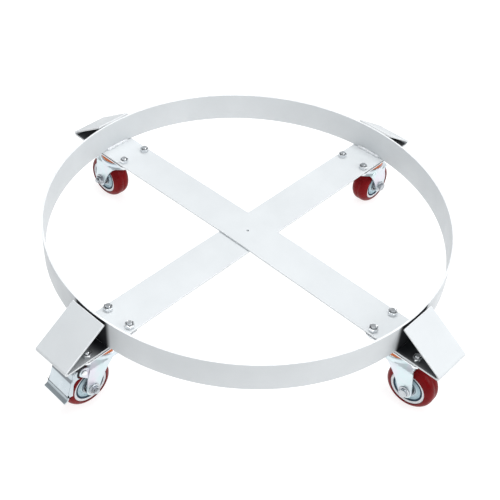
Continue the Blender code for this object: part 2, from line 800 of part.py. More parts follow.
def build_brake(corner, swivel):
    pivot_place = Matrix.Translation((BRAKE_PIVOT[0], 0, BRAKE_PIVOT[1]))
    new_object(f"{corner}_brake_pin", brake_pin_mesh(), PARTS, swivel, pivot_place)
    pivot = new_empty(f"{corner}_brake_axis", swivel, pivot_place)
    back = Matrix.Translation(-pivot_place.translation)
    new_object(f"{corner}_brake_pedal", pedal_mesh(), PARTS, pivot, back)
    new_object(f"{corner}_brake_shoe", shoe_mesh(), PARTS, pivot, back)
    new_object(f"{corner}_brake_spring", spring_mesh(), PARTS, pivot)


clear_scene()
PARTS = new_collection("drum_dolly")
HELPERS = new_collection("shape_helpers")
HELPERS.hide_render = True
PAINT = make_material("silver_grey_paint", (0.62, 0.65, 0.68), 0.38, 0.3)
ZINC = make_material("zinc_plate", (0.72, 0.74, 0.76), 0.3, 0.9)
BRIGHT_ZINC = make_material("bright_zinc", (0.80, 0.84, 0.88), 0.16, 1.0)
BEARING_STEEL = make_material("bearing_steel", (0.35, 0.36, 0.38), 0.3, 1.0)
SEAL_PLASTIC = make_material("amber_seal", (0.80, 0.26, 0.05), 0.4, 0.0)
TREAD_RED = make_material("dark_red_polyurethane", (0.23, 0.012, 0.016), 0.28, 0.0)
CORE_PLASTIC = make_material("pale_core", (0.60, 0.66, 0.72), 0.4, 0.0)
SHOE_RUBBER = make_material("brake_rubber", (0.03, 0.03, 0.03), 0.7, 0.0)
build_all()
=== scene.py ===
"""The looks of a drum dolly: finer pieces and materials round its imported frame.

Metres, +Z up, origin on the floor under the ring's centre. A caster's own frame has X outwards from
its swivel axis towards its wheel, Y across the wheel along the axle, and Z up from the floor.
"""

import json
import math

import bmesh
import bpy
from mathutils import Matrix, Vector


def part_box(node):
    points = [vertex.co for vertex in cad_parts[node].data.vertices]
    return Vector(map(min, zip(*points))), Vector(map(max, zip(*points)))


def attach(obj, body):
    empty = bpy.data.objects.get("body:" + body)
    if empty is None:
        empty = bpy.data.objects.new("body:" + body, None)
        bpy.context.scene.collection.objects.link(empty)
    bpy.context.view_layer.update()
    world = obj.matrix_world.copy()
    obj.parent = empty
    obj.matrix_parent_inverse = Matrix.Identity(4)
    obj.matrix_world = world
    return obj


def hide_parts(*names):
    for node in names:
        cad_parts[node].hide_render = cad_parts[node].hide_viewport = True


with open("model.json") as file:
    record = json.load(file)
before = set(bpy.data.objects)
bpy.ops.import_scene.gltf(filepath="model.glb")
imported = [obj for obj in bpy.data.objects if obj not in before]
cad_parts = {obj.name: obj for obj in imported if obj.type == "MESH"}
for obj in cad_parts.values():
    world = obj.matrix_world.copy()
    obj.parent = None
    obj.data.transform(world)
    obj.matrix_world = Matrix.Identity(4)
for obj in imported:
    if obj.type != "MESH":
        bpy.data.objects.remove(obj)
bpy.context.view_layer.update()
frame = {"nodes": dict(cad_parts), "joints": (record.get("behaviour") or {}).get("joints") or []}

CORNERS = ("front_right", "back_right", "back_left", "front_left")
BRAKED_CORNER = "front_left"
BOLT_LABELS = ("inner_a", "inner_b", "outer_a", "outer_b")

# Frame
SHEET = 0.003  # bars, plates and the ring's wall
RING_LOW, RING_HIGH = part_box("ring_band")
BAR_LOW, BAR_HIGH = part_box("lower_cross_bar")
BAR_TOP = BAR_LOW.z + SHEET
HALF_BAR = BAR_HIGH.x
WELD_HALF_LENGTH = 0.023
WELD_RADIUS = 0.0033
WELD_RIPPLE = 0.0021  # from one ripple to the next
WELD_RIPPLE_DEPTH = 0.07  # how much thinner a ripple gets, as a share of the bead
WELD_INTO_RING = 0.0004
WELD_ABOVE_BAR = 0.0006
RING_EDGE = 0.0008  # radius of a rounded edge, here and below
RING_TOP_BAND = 0.0012
LARGEST_EDGE_FACE = 0.0001  # square metres
BAR_EDGE = 0.0006
BAR_SIDE_BAND = 0.0005
BAR_END_BAND = 0.0035
LARGEST_END_FACE = 0.0003
PLATE_EDGE = 0.0007

# Fasteners
HEX_RADIUS = 0.0071
BOLT_HEAD_HEIGHT = 0.0053
NUT_HEIGHT = 0.0056
NUT_WELL = 0.0008  # width and depth of the chamfer round the thread
BOLT_RADIUS = 0.0038
BOLT_PITCH = 0.00125
AXLE_RADIUS = 0.004
AXLE_BOLT_END = 0.003  # how far the axle bolt stands out of its nut
FLANGE_RADIUS = 0.0092
FLANGE_HEIGHT = 0.0012
HEX_EDGE = 0.00018
HEX_CHAMFER = 0.94  # radius where the chamfer meets the face, as a share of the hexagon's
THREAD_DEPTH = 0.42  # as a share of the pitch
GAP = 0.0003  # between pieces that turn or sit against each other

# Caster
CROWN_RADIUS = 0.033
CROWN_TOP = 0.1003
CROWN_EDGE_DROP = 0.0028
CROWN_EDGE_STEPS = 5
CROWN_SKIRT = 0.0935
CROWN_RACE_RADIUS = 0.0225
CROWN_RACE_TOP = 0.1035
CROWN_RACE_TAPER = 0.003
WELD_INTO = 0.001  # how far an added piece runs into what it is joined to
SKIRT_REACH = 0.036
SKIRT_TOP = 0.110
SHOULDER_FOOT = 0.0770
SHOULDER_STEPS = 10
LEG_END = 0.024
LEG_SECTION_RADIUS = 0.050
FORK_HALF_WIDTH = 0.0228
FORK_SHEET = 0.0025
LEG_FACE = FORK_HALF_WIDTH + 0.0001  # where the axle's bolt and nut sit
FORK_EDGE = 0.00045
SIDE_REACH = 0.04  # past the fork's sides, from its middle
LUG_INSET = 0.0001
BOSS_RADIUS = 0.0115
KINGPIN_BORE = 0.0063
KINGPIN_BORE_TOP = 0.12
KINGPIN_BORE_FOOT = 0.08
LEG_TOP_CIRCLES = ((-0.021, 0.092, 0.010), (0.024, 0.091, 0.010))
LEG_ARCH_CENTRE = (-0.0939, -0.0054)  # the legs' inner edges are hollowed by a circle round this
LEG_ARCH_RADIUS = 0.120
SEAL_RADIUS = 0.0315
SEAL_INNER_RADIUS = 0.0268
SEAL_LIP = 0.0018
SEAL_GROOVE = 0.0006
SEAL_EDGE = 0.0008

# Wheel, measured along its axle from the middle
WHEEL_RADIUS = 0.0375
TREAD_HALF_WIDTH = 0.016
TREAD_SHOULDER = 0.012
TREAD_INNER_RADIUS = 0.0278
CORE_RADIUS = 0.0275
CORE_HALF_WIDTH = 0.0142
CORE_RIM_INNER = 0.0245
CORE_WEB_HALF = 0.0095
CORE_HUB_OUTER = 0.0165
CORE_BORE = 0.0133
CORE_EDGE = 0.0006
CORE_DISC_FROM = 0.008  # a core's faces beyond this are seen from its side
STEP_SHADE_WIDTH = 0.0029
BEARING_HALF_WIDTH = 0.0155
SLEEVE_RADIUS = 0.0068
BEARING_WIDTH = 0.006
SHIELD_DEPTH = 0.0008
SHIELD_FROM = 0.00045  # faces sunk further than this are the shield's

# Foot brake, in the braked caster's side view: (outwards, up)
BRAKE_PIVOT = (0.0430, 0.0820)
BRAKE_PIN_RADIUS = 0.0025
BRAKE_PIN_HEAD = 0.0018
BRAKE_LUG_CIRCLES = ((*BRAKE_PIVOT, 0.0075), (0.030, 0.078, 0.006), (0.030, 0.066, 0.006))
PEDAL_HALF_WIDTH = 0.0212
PEDAL_FOLD = 0.0020
PEDAL_FACE_FROM = 0.0600  # the front face lies beyond this, at the height of the bend
PEDAL_FACE_LEAN = 0.30  # outwards for each metre down from the bend
PEDAL_BEND_HEIGHT = 0.0690
# Heights of the painted shadow band across the pedal's bend, under the outrigger's tip
PEDAL_SHADOW_BAND = (0.0735, 0.0815)
ARM_FROM = PEDAL_BEND_HEIGHT + 0.004
LIP_FOOT = 0.0455
LIP_TOP = 0.0525
LIP_LINE = (-0.0012, 0.0016)  # the painted shadow line in the crease above the lip, from the lip's top
LARGEST_LINE_FACE = 0.00002
SHOE_GAP = 0.0021
SHOE_TRIM = 0.0005
SHOE_EDGE = 0.0006
PEDAL_EDGE = 0.0005
SPRING_WIRE_RADIUS = 0.0009
SPRING_TURNS = 3

SIDE_VIEW = Matrix.Rotation(math.radians(90), 4, "X")
TURNED_ROUND = Matrix.Rotation(math.pi, 4, "X")
UP = Vector((0, 0, 1))
SAME_POINT = 0.000002
FLAT_WITHIN = math.radians(0.6)


# ---------------- outlines and meshes


def arc(centre, radius, start, end, steps):
    """Points of an arc in a plane, angles in degrees."""
    points = []
    for i in range(steps + 1):
        angle = math.radians(start + (end - start) * i / steps)
        points.append((centre[0] + radius * math.cos(angle), centre[1] + radius * math.sin(angle)))
    return points


def hull_of_circles(circles, steps=72):
    """The outline of a band stretched round some circles (x, y, radius)."""
    points = []
    for x, y, radius in circles:
        points += arc((x, y), radius, 0, 360 - 360 / steps, steps - 1)
    points.sort()

    def half(ordered):
        chain = []
        for point in ordered:
            while len(chain) > 1 and turn(chain[-2], chain[-1], point) <= 1e-10:  # square metres
                chain.pop()
            chain.append(point)
        return chain[:-1]

    return half(points) + half(points[::-1])


def turn(a, b, c):
    """Above nought where the way from a through b to c bends left."""
    return (b[0] - a[0]) * (c[1] - a[1]) - (b[1] - a[1]) * (c[0] - a[0])


def rounded(points, radius, steps=3, closed=True):
    """A polyline with each corner rounded, by as much as its sides allow."""
    made = []
    count = len(points)
    for i, point in enumerate(points):
        if not closed and i in (0, count - 1):
            made.append(tuple(point))
            continue
        here = Vector(point)
        before = Vector(points[i - 1]) - here
        after = Vector(points[(i + 1) % count]) - here
        reach = min(radius, before.length * 0.45, after.length * 0.45)
        start = here + before.normalized() * reach
        end = here + after.normalized() * reach
        for step in range(steps + 1):
            part = step / steps
            point = start * (1 - part) ** 2 + here * 2 * part * (1 - part) + end * part**2
            made.append(tuple(point))
    return made


def mirrored(upper):
    """A closed profile from its upper half."""
    return upper + [(radius, -height) for radius, height in upper[::-1]]


def mesh_of(name, build):
    mesh = bpy.data.meshes.new(name)
    bm = bmesh.new()
    build(bm)
    bmesh.ops.recalc_face_normals(bm, faces=bm.faces)
    bm.to_mesh(mesh)
    bm.free()
    return mesh


def polar(radius, angle, height):
    return radius * math.cos(angle), radius * math.sin(angle), height


def stitch(bm, rows):
    """Closed rows of vertices become a tube with flat ends."""
    count = len(rows[0])
    for row, follower in zip(rows, rows[1:]):
        for i in range(count):
            j = (i + 1) % count
            bm.faces.new((row[i], row[j], follower[j], follower[i]))
    bm.faces.new(rows[0])
    bm.faces.new(rows[-1])


def turned(name, profile, segments, closed=True):
    """A profile of (radius, height) points turned round Z."""

    def build(bm):
        rings = []
        for radius, height in profile:
            steps = 1 if radius < 1e-7 else segments
            ring = []
            for i in range(steps):
                angle = 2 * math.pi * i / steps
                ring.append(bm.verts.new(polar(radius, angle, height)))
            rings.append(ring)
        followers = rings[1:] + rings[:1] if closed else rings[1:]
        for ring, follower in zip(rings, followers):
            for i in range(segments):
                j = (i + 1) % segments
                corners = [ring[i % len(ring)], ring[j % len(ring)]]
                corners += [follower[j % len(follower)], follower[i % len(follower)]]
                face = list(dict.fromkeys(corners))
                if len(face) > 2:
                    bm.faces.new(face)

    return mesh_of(name, build)


def extruded(name, outline, low, high):
    """A closed outline in the XY plane as a solid from low to high."""

    def build(bm):
        count = len(outline)
        base = [bm.verts.new((x, y, low)) for x, y in outline]
        lid = [bm.verts.new((x, y, high)) for x, y in outline]
        for i in range(count):
            j = (i + 1) % count
            bm.faces.new((base[i], base[j], lid[j], lid[i]))
        bm.faces.new(base[::-1])
        bm.faces.new(lid)

    return mesh_of(name, build)


def rod(name, radius, high, low, segments=32):
    return turned(name, [(0, high), (radius, high), (radius, low), (0, low)], segments, False)


def placed(mesh, place):
    """A copy of a mesh, moved."""
    made = mesh.copy()
    made.transform(place)
    return made


def joined(name, meshes):
    """Several meshes as one, each keeping its own shell."""
    made = bpy.data.meshes.new(name)
    bm = bmesh.new()
    for mesh in meshes:
        bm.from_mesh(mesh)
    bm.to_mesh(made)
    bm.free()
    return made


def with_modifiers(mesh, settings):
    """The mesh after some modifiers, given as (type, {property: value})."""
    helper = bpy.data.objects.new("helper", mesh)
    bpy.context.scene.collection.objects.link(helper)
    others = []
    for kind, values in settings:
        modifier = helper.modifiers.new(kind.title(), kind)
        for key, value in values.items():
            if key == "object":
                value = bpy.data.objects.new("other", value)
                bpy.context.scene.collection.objects.link(value)
                others.append(value)
            setattr(modifier, key, value)
    bpy.context.view_layer.update()
    graph = bpy.context.evaluated_depsgraph_get()
    made = bpy.data.meshes.new_from_object(helper.evaluated_get(graph))
    for thing in (helper, *others):
        bpy.data.objects.remove(thing, do_unlink=True)
    return made


def combined(mesh, operation, others):
    """The mesh joined with, cut by or kept within the others."""
    for other in others:
        settings = {"operation": operation, "solver": "MANIFOLD", "object": other}
        mesh = with_modifiers(mesh, [("BOOLEAN", settings)])
    return mesh


def cleaned(mesh, edit=None):
    """A copy with its flat faces whole again, after an edit to its bmesh if there is one."""
    clean = mesh.copy()
    bm = bmesh.new()
    bm.from_mesh(clean)
    bmesh.ops.remove_doubles(bm, verts=bm.verts, dist=SAME_POINT)
    bmesh.ops.dissolve_limit(bm, angle_limit=FLAT_WITHIN, verts=bm.verts, edges=bm.edges)
    if edit:
        edit(bm)
    bm.to_mesh(clean)
    bm.free()
    return clean


def edge_rounded(mesh, width, segments=3, angle=35):
    """The mesh with its sharp edges rounded, flat faces shaded flat and curved ones smooth."""
    clean = cleaned(mesh)
    clean.shade_smooth()
    bevel = {
        "width": width,
        "segments": segments,
        "limit_method": "ANGLE",
        "angle_limit": math.radians(angle),
        "use_clamp_overlap": False,
    }
    return with_modifiers(clean, [("BEVEL", bevel), ("WEIGHTED_NORMAL", {"keep_sharp": True})])


def smooth(mesh, angle=35):
    mesh.shade_smooth()
    mesh.set_sharp_from_angle(angle=math.radians(angle))
    return mesh


def piece(name, mesh, body, materials, replaced=()):
    """A shown piece that rides on a body."""
    made = bpy.data.objects.new(name, mesh)
    mesh.name = name
    slots = [face.material_index for face in mesh.polygons]
    mesh.materials.clear()
    for material in materials:
        mesh.materials.append(material)
    mesh.polygons.foreach_set("material_index", slots)
    bpy.context.scene.collection.objects.link(made)
    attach(made, body)
    if replaced:
        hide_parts(*replaced)
    return made


# ---------------- materials


class Shader:
    """A Principled material and short ways to add nodes to it."""

    def __init__(self, name, roughness, metallic, **settings):
        self.material = bpy.data.materials.new(name)
        self.material.use_nodes = True
        self.tree = self.material.node_tree
        self.surface = self.tree.nodes["Principled BSDF"]
        self.surface.inputs["Roughness"].default_value = roughness
        self.surface.inputs["Metallic"].default_value = metallic
        for socket, value in settings.items():
            self.surface.inputs[socket.replace("_", " ")].default_value = value
        self.place = self.tree.nodes.new("ShaderNodeTexCoord").outputs["Object"]

    def link(self, output, node_input):
        self.tree.links.new(output, node_input)

    def value(self, node_input, given):
        if isinstance(given, bpy.types.NodeSocket):
            self.link(given, node_input)
        else:
            node_input.default_value = given

    def math(self, operation, first, second=0.0, third=0.0):
        node = self.tree.nodes.new("ShaderNodeMath")
        node.operation = operation
        for node_input, given in zip(node.inputs, (first, second, third)):
            self.value(node_input, given)
        return node.outputs[0]

    def noise(self, scale, detail, roughness=0.5):
        """Noise with this many features a metre, from 0 to 1."""
        node = self.tree.nodes.new("ShaderNodeTexNoise")
        node.inputs["Scale"].default_value = scale
        node.inputs["Detail"].default_value = detail
        node.inputs["Roughness"].default_value = roughness
        self.link(self.place, node.inputs["Vector"])
        return node.outputs["Fac"]

    def spread(self, source, low, high, to_low=0.0, to_high=1.0):
        """An eased step from to_low, where the source is low, to to_high, where it is high."""
        node = self.tree.nodes.new("ShaderNodeMapRange")
        node.interpolation_type = "SMOOTHSTEP"
        for socket, given in zip(node.inputs, (source, low, high, to_low, to_high)):
            self.value(socket, given)
        return node.outputs["Result"]

    def ramp(self, source, stops):
        """A colour for each value of the source, from stops of (position, colour)."""
        node = self.tree.nodes.new("ShaderNodeValToRGB")
        elements = node.color_ramp.elements
        elements[0].position, elements[0].color = stops[0][0], (*stops[0][1], 1)
        elements[1].position, elements[1].color = stops[-1][0], (*stops[-1][1], 1)
        for position, colour in stops[1:-1]:
            elements.new(position).color = (*colour, 1)
        self.link(source, node.inputs["Fac"])
        return node.outputs["Color"]

    def mix(self, amount, source, colour):
        """A colour socket mixed towards a fixed colour."""
        node = self.tree.nodes.new("ShaderNodeMix")
        node.data_type = "RGBA"
        factor, first, second = node.inputs[0], node.inputs[6], node.inputs[7]
        self.link(amount, factor)
        self.link(source, first)
        second.default_value = (*colour, 1)
        return node.outputs[2]

    def axes(self):
        node = self.tree.nodes.new("ShaderNodeSeparateXYZ")
        self.link(self.place, node.inputs[0])
        return node.outputs

    def bump(self, height, distance):
        node = self.tree.nodes.new("ShaderNodeBump")
        node.inputs["Strength"].default_value = 1.0
        node.inputs["Distance"].default_value = distance
        self.link(height, node.inputs["Height"])
        self.link(node.outputs["Normal"], self.surface.inputs["Normal"])

    def finish(self, colour, roughness=None):
        self.link(colour, self.surface.inputs["Base Color"])
        if roughness is not None:
            self.link(roughness, self.surface.inputs["Roughness"])
        return self.material


def powder_coat(name, dark, light, roughness, shaded=False):
    """Silver-grey powder coat: fine flake, slight mottling and orange peel, and painted shade inside
    the outriggers' pockets if shaded.
    """
    shader = Shader(name, roughness, 0.10, Specular_IOR_Level=0.22)
    mottle = shader.noise(9, detail=4, roughness=0.6)
    flake = shader.noise(2600, detail=1)
    mottle = shader.math("MULTIPLY", mottle, 0.7)
    tone = shader.math("ADD", mottle, shader.math("MULTIPLY", flake, 0.3))
    colour = shader.ramp(tone, [(0.3, dark), (0.7, light)])
    gloss = shader.spread(shader.noise(30, detail=5), 0.3, 0.7, roughness - 0.06, roughness + 0.08)
    if shaded:
        # Painted shade: darker and rougher inside the outriggers' pockets
        shade = pocket_shade(shader)
        colour = shader.mix(shade, colour, POCKET_SHADE_COLOUR)
        gloss = shader.math("MAXIMUM", gloss, shade)
    shader.bump(shader.noise(420, detail=2), 0.00002)
    return shader.finish(colour, gloss)


def pocket_shade(shader):
    """How far a point lies inside a folded outrigger's pocket, for the painted shade there, where
    little light gets in.
    """
    x, y, z = shader.axes()
    open_pocket = shader.spread(y, OPEN_POCKET_TO * RING_HIGH.y, 0.0, 1.0, 0.0)
    x = shader.math("ABSOLUTE", x)
    y = shader.math("ABSOLUTE", y)
    along = shader.math("MAXIMUM", x, y)
    across = shader.math("MINIMUM", x, y)
    rise = (RING_HIGH.z - SHEET / 2 - BAR_TOP) / (OUTRIGGER_FOOT - OUTRIGGER_TOP)
    before_foot = shader.math("SUBTRACT", OUTRIGGER_FOOT, along)
    ceiling = shader.math("MULTIPLY_ADD", before_foot, rise, BAR_TOP)
    below = shader.spread(shader.math("SUBTRACT", ceiling, z), *UNDER_SLOPE)
    outside = shader.spread(along, RING_HIGH.x - RING_SKIN[0], RING_HIGH.x - RING_SKIN[1])
    reach = shader.math("MULTIPLY_ADD", open_pocket, OPEN_SIDE_FADE, HALF_BAR + SIDE_FADE)
    within = shader.spread(across, HALF_BAR - SIDE_FADE_FROM, reach, 1.0, 0.0)
    above = shader.spread(z, BAR_TOP - BAR_SKIN[0], BAR_TOP - BAR_SKIN[1])
    least = shader.math("MULTIPLY_ADD", open_pocket, OPEN_TIP_SHADE - TIP_SHADE, TIP_SHADE)
    depth = shader.spread(along, RING_HIGH.x + TIP_FADE[0], RING_HIGH.x + TIP_FADE[1], 1.0, least)
    off_bar = shader.spread(z, BAR_TOP + OFF_BAR[0], BAR_TOP + OFF_BAR[1])
    depth = shader.math("MAXIMUM", depth, off_bar)
    shade = shader.math("MULTIPLY", shader.math("MULTIPLY", below, outside), within)
    shade = shader.math("MULTIPLY", shade, depth)
    return shader.math("MULTIPLY", shade, above)


def bright_zinc(name, roughness, stops, shadow_band=None):
    """Zinc plating, cloudy between the stops' colours, with a painted shadow band between two
    heights if given.
    """
    shader = Shader(name, roughness, 1.0)
    colour = shader.ramp(shader.noise(28, detail=2, roughness=0.55), stops)
    if shadow_band:
        height = shader.axes()[2]
        above_low = shader.spread(height, shadow_band[0], shadow_band[0] + SHADOW_BAND_FADE)
        above_high = shader.spread(height, shadow_band[1] - SHADOW_BAND_FADE, shadow_band[1])
        band_shadow = shader.math("SUBTRACT", above_low, above_high)
        colour = shader.mix(band_shadow, colour, ZINC_SHADOW_COLOUR)
    spangle = shader.noise(900, detail=2)
    gloss = shader.spread(shader.noise(60, detail=4), 0.3, 0.7, roughness - 0.05, roughness + 0.07)
    shader.bump(spangle, 0.000006)
    return shader.finish(colour, gloss)


def plain_steel(name, dark, light, roughness, metallic=1.0):
    """Unplated metal, painted metal, or a painted shadow: cloudy between two tones."""
    shader = Shader(name, roughness, metallic)
    colour = shader.ramp(shader.noise(160, detail=4), [(0.3, dark), (0.7, light)])
    gloss = shader.spread(shader.noise(300, detail=2), 0.3, 0.7, roughness - 0.05, roughness + 0.06)
    shader.bump(shader.noise(1500, detail=1), 0.000005)
    return shader.finish(colour, gloss)


def moulded_plastic(name, dark, light, roughness, **settings):
    """Moulded plastic or rubber: cloudy colour, satin grain."""
    shader = Shader(name, roughness, 0.0, **settings)
    colour = shader.ramp(shader.noise(70, detail=4), [(0.3, dark), (0.7, light)])
    gloss = shader.spread(shader.noise(220, detail=3), 0.3, 0.7, roughness - 0.06, roughness + 0.08)
    shader.bump(shader.noise(1100, detail=2), 0.00001)
    return shader.finish(colour, gloss)


# The outriggers' slope, along a bar: where its underside meets the ring and where it meets the bar.
OUTRIGGER_TOP = RING_HIGH.x + 0.0026
OUTRIGGER_FOOT = BAR_HIGH.y - 0.0035
# Painted shade inside the outriggers' pockets: its colour, and where it fades out
POCKET_SHADE_COLOUR = (0.013, 0.014, 0.017)
OPEN_POCKET_TO = -0.5  # a pocket further along -Y, as a share of the ring's reach, is open to light
UNDER_SLOPE = (0.0014, 0.0018)  # below the middle of the outrigger's sheet
RING_SKIN = (0.0022, 0.0012)  # inwards of the ring's outer face
BAR_SKIN = (0.0012, 0.0002)  # below the top of the bar
OFF_BAR = (0.0002, 0.003)  # above the top of the bar
SIDE_FADE_FROM = 0.006  # inwards of the bar's side
SIDE_FADE = 0.014  # outwards of the bar's side
OPEN_SIDE_FADE = 0.030  # as much further in an open pocket
TIP_FADE = (0.004, 0.040)  # outwards of the ring
TIP_SHADE = 0.92
OPEN_TIP_SHADE = 0.30

# The painted shadow band's colour on plating, and how far it fades in
ZINC_SHADOW_COLOUR = (0.20, 0.22, 0.24)
SHADOW_BAND_FADE = 0.002

# The faint rainbow of bright zinc's passivation
RAINBOW = [
    (0.30, (0.61, 0.70, 0.76)),
    (0.42, (0.66, 0.72, 0.76)),
    (0.50, (0.62, 0.73, 0.75)),
    (0.58, (0.67, 0.72, 0.76)),
    (0.70, (0.70, 0.68, 0.75)),
]
# The main coat carries the painted pocket shade.
PAINT = powder_coat("powder_coat", (0.61, 0.635, 0.65), (0.68, 0.705, 0.72), 0.48, shaded=True)
# A lighter, glossier coat on narrow edge faces: a painted highlight
PAINT_HIGHLIGHT = powder_coat("powder_coat_painted_highlight", (0.76, 0.78, 0.80), (0.86, 0.88, 0.89), 0.36)
WELD = plain_steel("painted_weld", (0.60, 0.62, 0.64), (0.74, 0.76, 0.78), 0.30, 0.2)
AXLE_ZINC = bright_zinc("axle_zinc", 0.22, [(0.3, (0.36, 0.38, 0.41)), (0.7, (0.62, 0.65, 0.68))])
BRIGHT_ZINC = bright_zinc("bright_zinc", 0.34, RAINBOW)
PLATE_ZINC = bright_zinc("plate_zinc", 0.32, [(0.3, (0.66, 0.69, 0.72)), (0.7, (0.84, 0.86, 0.88))])
BOLT_ZINC = bright_zinc("bolt_zinc", 0.16, [(0.3, (0.62, 0.64, 0.66)), (0.7, (0.86, 0.88, 0.90))])
DARK_STEEL = plain_steel("dark_steel", (0.10, 0.11, 0.13), (0.22, 0.23, 0.26), 0.34)
RACE_STEEL = plain_steel("race_steel", (0.28, 0.30, 0.33), (0.42, 0.45, 0.49), 0.24)
AMBER = moulded_plastic(
    "amber_seal", (0.52, 0.105, 0.02), (0.76, 0.20, 0.05), 0.38, Subsurface_Weight=0.08
)
TREAD = moulded_plastic(
    "red_polyurethane", (0.155, 0.0020, 0.0035), (0.215, 0.003, 0.005), 0.30, Specular_IOR_Level=0.10
)
CORE = moulded_plastic("pale_core", (0.72, 0.74, 0.77), (0.82, 0.84, 0.86), 0.36)
CORE_DISC = moulded_plastic("pale_blue_disc", (0.52, 0.67, 0.74), (0.66, 0.80, 0.85), 0.36)
# Painted shade in the step of each wheel core, as a dark blue ring
STEP_SHADE = moulded_plastic(
    "dark_blue_painted_shade", (0.010, 0.030, 0.055), (0.02, 0.05, 0.08), 0.5, Specular_IOR_Level=0.15
)
BEARING_SHIELD = moulded_plastic(
    "bearing_shield", (0.010, 0.012, 0.015), (0.022, 0.026, 0.032), 0.5, Specular_IOR_Level=0.2
)
SHOE_RUBBER = moulded_plastic("brake_rubber", (0.018, 0.018, 0.02), (0.04, 0.04, 0.042), 0.65)
PEDAL_TONES = [(0.3, (0.50, 0.56, 0.60)), (0.7, (0.64, 0.70, 0.73))]
PEDAL_ZINC = bright_zinc("pedal_zinc", 0.30, PEDAL_TONES)
# The pedal's bend, with a painted shadow band under the outrigger's tip
PEDAL_SHADOW_ZINC = bright_zinc("pedal_zinc_painted_shadow", 0.30, PEDAL_TONES, PEDAL_SHADOW_BAND)
GREY_LIP = bright_zinc("grey_lip", 0.36, [(0.3, (0.40, 0.45, 0.48)), (0.7, (0.52, 0.58, 0.61))])
# Painted shadow in gaps and creases: the bars' foot, the plates' top edge and the pedal
PAINTED_SHADOW = plain_steel("groove_shadow", (0.02, 0.02, 0.024), (0.05, 0.05, 0.055), 0.7, 0.0)


# ---------------- where the casters are


def joint_named(name):
    return next(joint for joint in frame["joints"] if joint["name"] == name)


def swivel_place(corner):
    """A caster's own frame: X outwards to its wheel, Y across, Z up, on the floor."""
    centre = Vector(joint_named(f"{corner}_swivel_turn")["pos_m"])
    axle = Vector(joint_named(f"{corner}_wheel_spin")["pos_m"])
    outwards = axle - centre
    outwards.z = 0
    outwards.normalize()
    across = Vector((-outwards.y, outwards.x, 0))
    place = Matrix.Identity(4)
    place.col[0][:3] = outwards
    place.col[1][:3] = across
    place.translation = (centre.x, centre.y, 0)
    return place


def axle_offset():
    """The axle's middle in a caster's own frame, with the axle along Z."""
    centre = Vector(joint_named("front_right_swivel_turn")["pos_m"])
    axle = Vector(joint_named("front_right_wheel_spin")["pos_m"])
    reach = Vector((axle.x - centre.x, axle.y - centre.y)).length
    return Matrix.Translation((reach, 0, axle.z)) @ SIDE_VIEW


# ---------------- frame


def ring():
    """The ring with rounded edges, its top edge lighter with a painted highlight."""
    outer = RING_HIGH.x
    inner = outer - SHEET
    profile = [(outer, RING_HIGH.z), (outer, RING_LOW.z), (inner, RING_LOW.z), (inner, RING_HIGH.z)]
    mesh = smooth(turned("ring", rounded(profile, RING_EDGE, 4), 360), 50)
    made = piece("ring", mesh, "frame", [PAINT, PAINT_HIGHLIGHT], ["ring_band"])
    mark_edges(made.data)


def mark_edges(mesh):
    """The narrow faces on top of the ring get the second material, a painted highlight."""
    for face in mesh.polygons:
        on_top = abs(face.normal.z) > 0.5 and face.center.z > RING_HIGH.z - RING_TOP_BAND
        face.material_index = int(on_top and face.area < LARGEST_EDGE_FACE)


def bar(node):
    """A cross bar with rounded edges, its cut sides lighter with a painted highlight and a painted
    shadow along their foot.
    """
    mesh = edge_rounded(frame["nodes"][node].data, BAR_EDGE)
    materials = [PAINT, PAINT_HIGHLIGHT, PAINTED_SHADOW]
    piece(node + "_coated", mesh, "frame", materials, [node])
    for face in mesh.polygons:
        across = min(abs(face.center.x), abs(face.center.y))
        at_side = across > HALF_BAR - BAR_SIDE_BAND and abs(face.normal.z) < 0.9
        at_end = face.center.z > RING_HIGH.z - BAR_END_BAND and face.area < LARGEST_END_FACE
        under = at_side and face.center.z < BAR_LOW.z + BAR_SIDE_BAND
        face.material_index = 2 if under else int(at_side or at_end)


def weld_bead(name, direction):
    """A fillet weld along the inside of the ring on top of a bar, with its ripples."""
    inner = RING_HIGH.x - SHEET
    steps = 140
    sides = 14
    blunt = 14  # the higher, the later the bead starts to taper
    thinnest = 0.05
    reach = WELD_HALF_LENGTH / inner

    def build(bm):
        rings = []
        for i in range(steps + 1):
            part = 2 * i / steps - 1
            angle = math.radians(direction) + part * reach
            ripple = (part * WELD_HALF_LENGTH / WELD_RIPPLE) % 1.0
            taper = max(1 - abs(part) ** blunt, 0.0) ** 0.5
            size = WELD_RADIUS * (1 - WELD_RIPPLE_DEPTH * ripple * ripple) * max(taper, thinnest)
            row = []
            for k in range(sides):
                around = 2 * math.pi * k / sides
                radius = inner - WELD_INTO_RING + size * math.cos(around)
                height = BAR_TOP + WELD_ABOVE_BAR + size * math.sin(around)
                row.append(bm.verts.new(polar(radius, angle, height)))
            rings.append(row)
        stitch(bm, rings)

    piece(name, smooth(mesh_of(name, build), 60), "frame", [WELD])


# ---------------- fasteners


